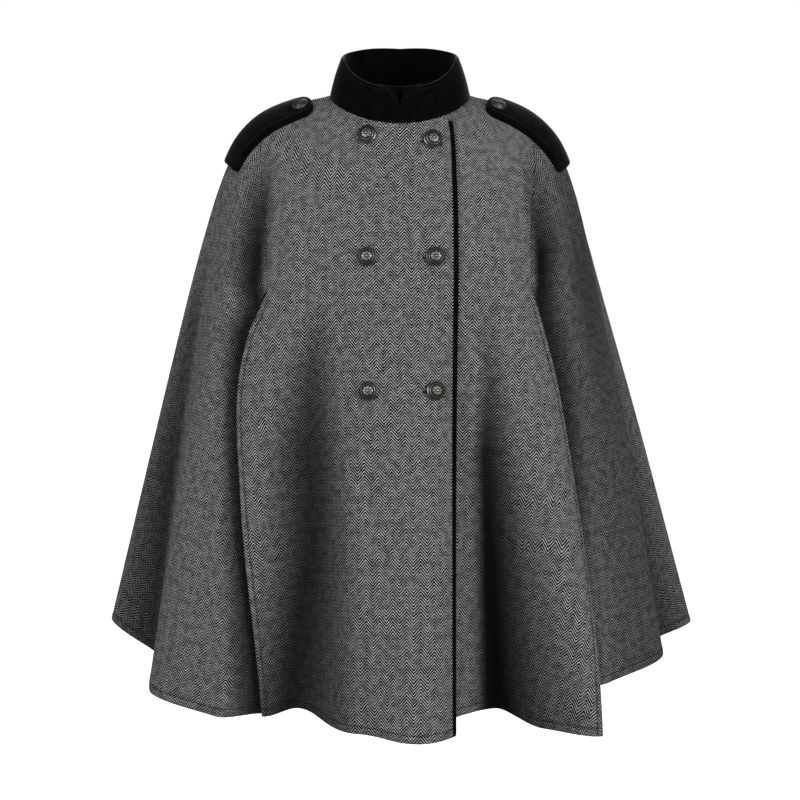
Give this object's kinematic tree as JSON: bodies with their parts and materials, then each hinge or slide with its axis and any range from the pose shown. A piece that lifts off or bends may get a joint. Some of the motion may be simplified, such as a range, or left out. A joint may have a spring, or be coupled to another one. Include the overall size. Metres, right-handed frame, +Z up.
{
  "type": "cape",
  "caption": "Hip-length double-breasted herringbone cape with a black felt stand collar, epaulettes, a piped front edge, metal buttons and an arm slit at each side, held in its worn shape",
  "frame": {"origin": "middle of the neck seam, where the cape hangs from the wearer's shoulders", "axes": "+Z up, -Y the front of the cape, +X the wearer's left"},
  "size_m": [0.7205, 0.4875, 0.767],
  "materials": {
    "tweed": "black and off-white herringbone wool tweed, matt, slightly hairy",
    "felt": "dense black wool felt, matt with a faint nap",
    "pewter": "aged pewter: dull silver-grey relief with dark hollows"
  },
  "bodies": {
    "root": {"front_right": "tweed", "front_left": "tweed", "side_right": "tweed", "side_left": "tweed", "back": "tweed", "piping": "felt", "collar": "felt", "collar_tab_right": "felt", "collar_tab_left": "felt", "epaulette_right": "felt", "epaulette_left": "felt", "button_epaulette_right": "pewter", "button_epaulette_left": "pewter", "button_right_top": "pewter", "button_left_top": "pewter", "button_right_middle": "pewter", "button_left_middle": "pewter", "button_right_bottom": "pewter", "button_left_bottom": "pewter"}
  },
  "joints": []
}
